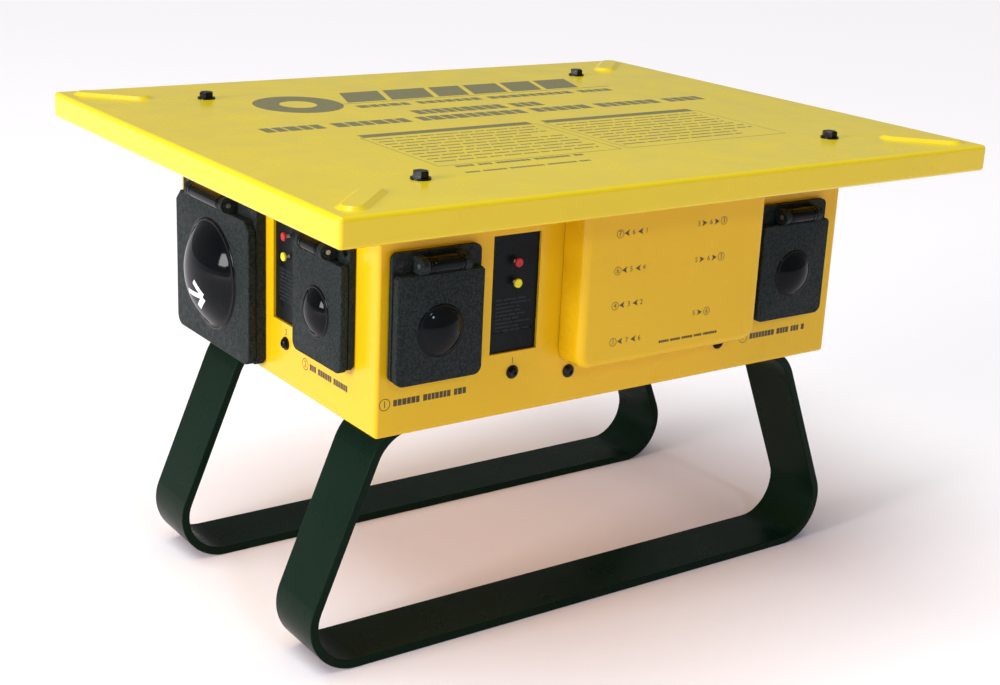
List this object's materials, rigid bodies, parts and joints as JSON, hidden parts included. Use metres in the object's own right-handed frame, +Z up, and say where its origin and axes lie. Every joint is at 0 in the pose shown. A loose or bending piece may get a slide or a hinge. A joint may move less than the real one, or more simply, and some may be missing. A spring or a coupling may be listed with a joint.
{
  "type": "portable power distribution box",
  "caption": "Box on splayed legs that takes a heavy power feed and splits it to covered, breaker-protected outlets under an overhanging rain lid.",
  "frame": {"origin": "on the floor under the centre of the lid", "axes": "+X to the right along the front, -Y out of the front wall, +Z up"},
  "size_m": [0.5462, 0.4444, 0.3502],
  "materials": {
    "yellow_paint": "satin powder coat",
    "black_paint": "semi-gloss powder coat",
    "black_zinc": "black oxide",
    "zinc_steel": "zinc plated",
    "grey_steel": "satin paint",
    "grey_plastic": "matte",
    "copper": "bare copper",
    "brass": "bare brass",
    "black_plastic": "matte",
    "black_gloss": "gloss",
    "cover_plastic": "fine texture, glossy domes",
    "red_plastic": "gloss",
    "yellow_plastic": "gloss",
    "handle_plastic": "satin",
    "black_rubber": "matte",
    "wire_sheath": "satin"
  },
  "bodies": {
    "body": {"enclosure": "yellow_paint", "top_lid": "yellow_paint", "lid_gasket": "black_rubber", "lid_bolts": "black_zinc", "lid_nuts": "zinc_steel", "front_leg": "black_paint", "rear_leg": "black_paint", "leg_bolts": "zinc_steel", "leg_nuts": "zinc_steel", "dead_front": "grey_steel", "breaker_base": "grey_plastic", "bus_bars": "copper", "circuit_breakers": "black_plastic", "door_hinge_leaf": "yellow_paint", "door_hinge_pin": "zinc_steel", "inlet_body": "black_plastic", "inlet_blades": "brass", "power_plates": "cover_plastic", "feed_outlet_body": "black_plastic", "outlet_plates": "cover_plastic", "plate_gaskets": "black_rubber", "receptacles": "black_plastic", "hinge_pins": "zinc_steel", "lid_springs": "zinc_steel", "plate_screws": "black_zinc", "gfci_modules": "black_gloss", "panel_screws": "black_zinc", "ground_bar": "brass", "neutral_bar": "brass", "bar_insulators": "grey_plastic", "power_wires": "wire_sheath"},
    "breaker_door": {"breaker_door": "yellow_paint"},
    "inlet_lid": {"inlet_lid": "cover_plastic"},
    "feed_outlet_lid": {"feed_outlet_lid": "cover_plastic"},
    "outlet_lid_1": {"outlet_lid_1": "cover_plastic"},
    "outlet_lid_2": {"outlet_lid_2": "cover_plastic"},
    "outlet_lid_3": {"outlet_lid_3": "cover_plastic"},
    "outlet_lid_4": {"outlet_lid_4": "cover_plastic"},
    "outlet_lid_5": {"outlet_lid_5": "cover_plastic"},
    "outlet_lid_6": {"outlet_lid_6": "cover_plastic"},
    "outlet_lid_7": {"outlet_lid_7": "cover_plastic"},
    "gfci_test_1": {"gfci_test_1": "red_plastic"},
    "gfci_reset_1": {"gfci_reset_1": "yellow_plastic"},
    "gfci_test_2": {"gfci_test_2": "red_plastic"},
    "gfci_reset_2": {"gfci_reset_2": "yellow_plastic"},
    "gfci_test_3": {"gfci_test_3": "red_plastic"},
    "gfci_reset_3": {"gfci_reset_3": "yellow_plastic"},
    "gfci_test_4": {"gfci_test_4": "red_plastic"},
    "gfci_reset_4": {"gfci_reset_4": "yellow_plastic"},
    "gfci_test_5": {"gfci_test_5": "red_plastic"},
    "gfci_reset_5": {"gfci_reset_5": "yellow_plastic"},
    "gfci_test_6": {"gfci_test_6": "red_plastic"},
    "gfci_reset_6": {"gfci_reset_6": "yellow_plastic"},
    "breaker_handle_1": {"breaker_handle_1": "handle_plastic"},
    "breaker_handle_2": {"breaker_handle_2": "handle_plastic"},
    "breaker_handle_3": {"breaker_handle_3": "handle_plastic"},
    "breaker_handle_4": {"breaker_handle_4": "handle_plastic"},
    "breaker_handle_5": {"breaker_handle_5": "handle_plastic"},
    "breaker_handle_6": {"breaker_handle_6": "handle_plastic"},
    "breaker_handle_7": {"breaker_handle_7": "handle_plastic"}
  },
  "joints": [
    {"name": "outlet_lid_1_hinge", "type": "hinge", "parent": "body", "child": "outlet_lid_1", "pos_m": [-0.1617, -0.1602, 0.2905], "axis": [-1, 0, 0], "range_deg": [0, 100], "stiffness_Nm_per_rad": 0.03, "springref_deg": -17.19},
    {"name": "outlet_lid_2_hinge", "type": "hinge", "parent": "body", "child": "outlet_lid_2", "pos_m": [-0.2148, -0.087, 0.2905], "axis": [0, 1, 0], "range_deg": [0, 100], "stiffness_Nm_per_rad": 0.03, "springref_deg": -17.19},
    {"name": "outlet_lid_3_hinge", "type": "hinge", "parent": "body", "child": "outlet_lid_3", "pos_m": [-0.095, 0.1602, 0.2905], "axis": [1, 0, 0], "range_deg": [0, 100], "stiffness_Nm_per_rad": 0.03, "springref_deg": -17.19},
    {"name": "outlet_lid_4_hinge", "type": "hinge", "parent": "body", "child": "outlet_lid_4", "pos_m": [0.033, 0.1602, 0.2905], "axis": [1, 0, 0], "range_deg": [0, 100], "stiffness_Nm_per_rad": 0.03, "springref_deg": -17.19},
    {"name": "outlet_lid_5_hinge", "type": "hinge", "parent": "body", "child": "outlet_lid_5", "pos_m": [0.161, 0.1602, 0.2905], "axis": [1, 0, 0], "range_deg": [0, 100], "stiffness_Nm_per_rad": 0.03, "springref_deg": -17.19},
    {"name": "outlet_lid_6_hinge", "type": "hinge", "parent": "body", "child": "outlet_lid_6", "pos_m": [0.2148, -0.087, 0.2905], "axis": [0, -1, 0], "range_deg": [0, 100], "stiffness_Nm_per_rad": 0.03, "springref_deg": -17.19},
    {"name": "outlet_lid_7_hinge", "type": "hinge", "parent": "body", "child": "outlet_lid_7", "pos_m": [0.1498, -0.1602, 0.2905], "axis": [-1, 0, 0], "range_deg": [0, 100], "stiffness_Nm_per_rad": 0.03, "springref_deg": -17.19},
    {"name": "inlet_lid_hinge", "type": "hinge", "parent": "body", "child": "inlet_lid", "pos_m": [-0.2172, 0.0662, 0.2906], "axis": [0, 1, 0], "range_deg": [0, 90], "stiffness_Nm_per_rad": 0.08, "springref_deg": -17.19},
    {"name": "feed_outlet_lid_hinge", "type": "hinge", "parent": "body", "child": "feed_outlet_lid", "pos_m": [0.2172, 0.0662, 0.2906], "axis": [0, -1, 0], "range_deg": [0, 90], "stiffness_Nm_per_rad": 0.08, "springref_deg": -17.19},
    {"name": "breaker_door_hinge", "type": "hinge", "parent": "body", "child": "breaker_door", "pos_m": [0.0208, -0.1527, 0.3158], "axis": [-1, 0, 0], "range_deg": [0, 78]},
    {"name": "gfci_test_1_press", "type": "slide", "parent": "body", "child": "gfci_test_1", "axis": [0, 1, 0], "range_m": [0, 0.002], "stiffness_N_per_m": 300},
    {"name": "gfci_reset_1_press", "type": "slide", "parent": "body", "child": "gfci_reset_1", "axis": [0, 1, 0], "range_m": [0, 0.002], "stiffness_N_per_m": 300},
    {"name": "gfci_test_2_press", "type": "slide", "parent": "body", "child": "gfci_test_2", "axis": [1, 0, 0], "range_m": [0, 0.002], "stiffness_N_per_m": 300},
    {"name": "gfci_reset_2_press", "type": "slide", "parent": "body", "child": "gfci_reset_2", "axis": [1, 0, 0], "range_m": [0, 0.002], "stiffness_N_per_m": 300},
    {"name": "gfci_test_3_press", "type": "slide", "parent": "body", "child": "gfci_test_3", "axis": [0, -1, 0], "range_m": [0, 0.002], "stiffness_N_per_m": 300},
    {"name": "gfci_reset_3_press", "type": "slide", "parent": "body", "child": "gfci_reset_3", "axis": [0, -1, 0], "range_m": [0, 0.002], "stiffness_N_per_m": 300},
    {"name": "gfci_test_4_press", "type": "slide", "parent": "body", "child": "gfci_test_4", "axis": [0, -1, 0], "range_m": [0, 0.002], "stiffness_N_per_m": 300},
    {"name": "gfci_reset_4_press", "type": "slide", "parent": "body", "child": "gfci_reset_4", "axis": [0, -1, 0], "range_m": [0, 0.002], "stiffness_N_per_m": 300},
    {"name": "gfci_test_5_press", "type": "slide", "parent": "body", "child": "gfci_test_5", "axis": [0, -1, 0], "range_m": [0, 0.002], "stiffness_N_per_m": 300},
    {"name": "gfci_reset_5_press", "type": "slide", "parent": "body", "child": "gfci_reset_5", "axis": [0, -1, 0], "range_m": [0, 0.002], "stiffness_N_per_m": 300},
    {"name": "gfci_test_6_press", "type": "slide", "parent": "body", "child": "gfci_test_6", "axis": [-1, 0, 0], "range_m": [0, 0.002], "stiffness_N_per_m": 300},
    {"name": "gfci_reset_6_press", "type": "slide", "parent": "body", "child": "gfci_reset_6", "axis": [-1, 0, 0], "range_m": [0, 0.002], "stiffness_N_per_m": 300},
    {"name": "breaker_handle_1_pivot", "type": "hinge", "parent": "body", "child": "breaker_handle_1", "pos_m": [-0.0118, -0.1387, 0.2999], "axis": [0, 0, -1], "range_deg": [0, 34]},
    {"name": "breaker_handle_2_pivot", "type": "hinge", "parent": "body", "child": "breaker_handle_2", "pos_m": [-0.0118, -0.1387, 0.2745], "axis": [0, 0, -1], "range_deg": [0, 34]},
    {"name": "breaker_handle_3_pivot", "type": "hinge", "parent": "body", "child": "breaker_handle_3", "pos_m": [-0.0118, -0.1387, 0.2491], "axis": [0, 0, -1], "range_deg": [0, 34]},
    {"name": "breaker_handle_4_pivot", "type": "hinge", "parent": "body", "child": "breaker_handle_4", "pos_m": [-0.0118, -0.1387, 0.2237], "axis": [0, 0, -1], "range_deg": [0, 34]},
    {"name": "breaker_handle_5_pivot", "type": "hinge", "parent": "body", "child": "breaker_handle_5", "pos_m": [0.0534, -0.1387, 0.2999], "axis": [0, 0, 1], "range_deg": [0, 34]},
    {"name": "breaker_handle_6_pivot", "type": "hinge", "parent": "body", "child": "breaker_handle_6", "pos_m": [0.0534, -0.1387, 0.2745], "axis": [0, 0, 1], "range_deg": [0, 34]},
    {"name": "breaker_handle_7_pivot", "type": "hinge", "parent": "body", "child": "breaker_handle_7", "pos_m": [0.0534, -0.1387, 0.2491], "axis": [0, 0, 1], "range_deg": [0, 34]}
  ]
}
